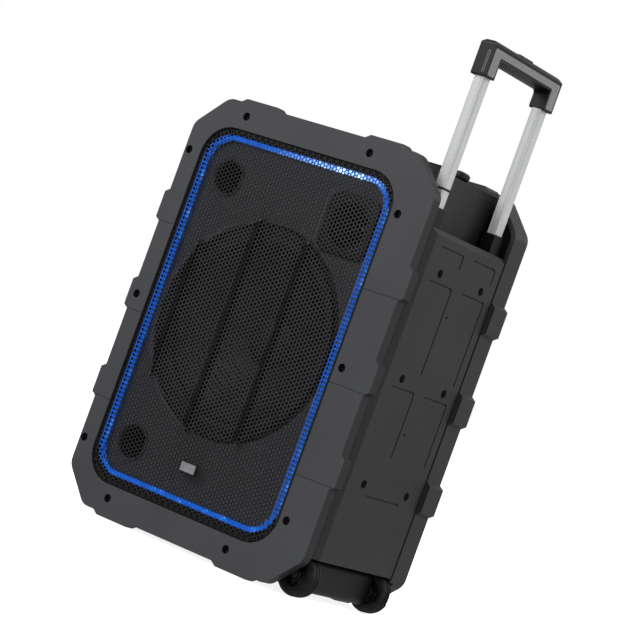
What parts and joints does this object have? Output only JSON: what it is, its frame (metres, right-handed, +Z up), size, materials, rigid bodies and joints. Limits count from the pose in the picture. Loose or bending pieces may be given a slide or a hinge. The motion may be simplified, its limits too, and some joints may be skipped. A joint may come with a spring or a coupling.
{
  "type": "party speaker",
  "caption": "Portable party speaker cabinet on wheels with padded end frames, lit grille front and telescopic trolley handle.",
  "frame": {"origin": "on the floor, under the middle of the speaker", "axes": "+X towards the trolley handle side, +Y from the grille to the back, +Z up"},
  "size_m": [0.3476, 0.196, 0.6126],
  "materials": {
    "slate_plastic": "satin moulded",
    "dark_plastic": "fine moulded texture",
    "rim_plastic": "fine moulded texture",
    "black_plastic": "satin",
    "grille_steel": "black powder coat",
    "light_guide": "lit blue diffuser",
    "circuit_board": "solder mask",
    "speaker_paper": "pressed paper",
    "soft_rubber": "matte",
    "tyre_rubber": "matte",
    "tube_aluminium": "satin drawn",
    "plain_steel": "turned",
    "black_steel": "black",
    "grey_inset": "soft matte",
    "ferrite": "pressed",
    "display_lens": "polished",
    "badge_metal": "brushed"
  },
  "bodies": {
    "cabinet": {"front_bezel": "slate_plastic", "grille": "grille_steel", "badge_plate": "badge_metal", "led_light_ring": "light_guide", "led_strip": "circuit_board", "front_baffle": "dark_plastic", "port_tube_upper": "black_plastic", "port_tube_lower": "black_plastic", "tweeter_horn": "black_plastic", "tweeter_driver": "ferrite", "woofer_gasket": "soft_rubber", "woofer_basket": "black_steel", "woofer_magnet": "ferrite", "woofer_surround": "soft_rubber", "woofer_spider": "speaker_paper", "cabinet_shell": "dark_plastic", "rear_frame": "rim_plastic", "rear_panel": "dark_plastic", "side_cover": "dark_plastic", "handle_well": "dark_plastic", "carry_handle": "soft_rubber", "trolley_sleeve_front": "black_plastic", "trolley_sleeve_rear": "black_plastic", "axle_housing": "black_plastic", "wheel_axle": "plain_steel", "battery_pack": "black_plastic", "amplifier_board": "circuit_board", "heat_sink": "tube_aluminium", "power_supply": "circuit_board", "control_panel": "black_plastic", "power_inlet": "black_plastic", "display_window": "display_lens", "side_cover_screw_1": "black_steel", "side_cover_screw_2": "black_steel", "side_cover_screw_3": "black_steel", "side_cover_screw_4": "black_steel", "side_cover_screw_5": "black_steel", "side_cover_screw_6": "black_steel"},
    "handle": {"trolley_tube_front": "tube_aluminium", "trolley_tube_rear": "tube_aluminium", "trolley_tube_band": "soft_rubber", "trolley_grip": "black_plastic", "grip_inset": "grey_inset"},
    "release_key": {"release_button": "black_plastic"},
    "wheel_front": {"wheel_hub_front": "black_plastic", "wheel_tyre_front": "tyre_rubber"},
    "wheel_rear": {"wheel_hub_rear": "black_plastic", "wheel_tyre_rear": "tyre_rubber"},
    "cone": {"woofer_cone": "speaker_paper", "woofer_dust_cap": "speaker_paper", "woofer_voice_coil": "plain_steel"},
    "volume": {"volume_knob": "rim_plastic"},
    "microphone": {"microphone_knob": "rim_plastic"},
    "key_mode": {"button_mode": "rim_plastic"},
    "key_previous": {"button_previous": "rim_plastic"},
    "key_play": {"button_play": "rim_plastic"},
    "key_next": {"button_next": "rim_plastic"},
    "switch": {"power_switch": "black_plastic"},
    "flap": {"socket_flap": "soft_rubber"}
  },
  "joints": [
    {"name": "trolley_slide", "type": "slide", "parent": "cabinet", "child": "handle", "axis": [0, 0, 1], "range_m": [-0.141, 0.18]},
    {"name": "release_press", "type": "slide", "parent": "handle", "child": "release_key", "axis": [0, 0, -1], "range_m": [0, 0.002], "stiffness_N_per_m": 800},
    {"name": "wheel_front_spin", "type": "hinge", "parent": "cabinet", "child": "wheel_front", "pos_m": [0.148, -0.067, 0.024], "axis": [0, 1, 0], "continuous": true},
    {"name": "wheel_rear_spin", "type": "hinge", "parent": "cabinet", "child": "wheel_rear", "pos_m": [0.148, 0.069, 0.024], "axis": [0, 1, 0], "continuous": true},
    {"name": "cone_travel", "type": "slide", "parent": "cabinet", "child": "cone", "axis": [0, -1, 0], "range_m": [-0.004, 0.004], "stiffness_N_per_m": 2500},
    {"name": "volume_turn", "type": "hinge", "parent": "cabinet", "child": "volume", "pos_m": [0.04, 0.0857, 0.402], "axis": [0, 1, 0], "range_deg": [-140, 140]},
    {"name": "microphone_turn", "type": "hinge", "parent": "cabinet", "child": "microphone", "pos_m": [0.006, 0.0857, 0.402], "axis": [0, 1, 0], "range_deg": [-140, 140]},
    {"name": "mode_press", "type": "slide", "parent": "cabinet", "child": "key_mode", "axis": [0, -1, 0], "range_m": [0, 0.0012], "stiffness_N_per_m": 1200},
    {"name": "previous_press", "type": "slide", "parent": "cabinet", "child": "key_previous", "axis": [0, -1, 0], "range_m": [0, 0.0012], "stiffness_N_per_m": 1200},
    {"name": "play_press", "type": "slide", "parent": "cabinet", "child": "key_play", "axis": [0, -1, 0], "range_m": [0, 0.0012], "stiffness_N_per_m": 1200},
    {"name": "next_press", "type": "slide", "parent": "cabinet", "child": "key_next", "axis": [0, -1, 0], "range_m": [0, 0.0012], "stiffness_N_per_m": 1200},
    {"name": "switch_rock", "type": "hinge", "parent": "cabinet", "child": "switch", "pos_m": [0.048, 0.0837, 0.338], "axis": [1, 0, 0], "range_deg": [0, 10]},
    {"name": "flap_open", "type": "hinge", "parent": "cabinet", "child": "flap", "pos_m": [-0.054, 0.0884, 0.348], "axis": [1, 0, 0], "range_deg": [0, 110]}
  ]
}
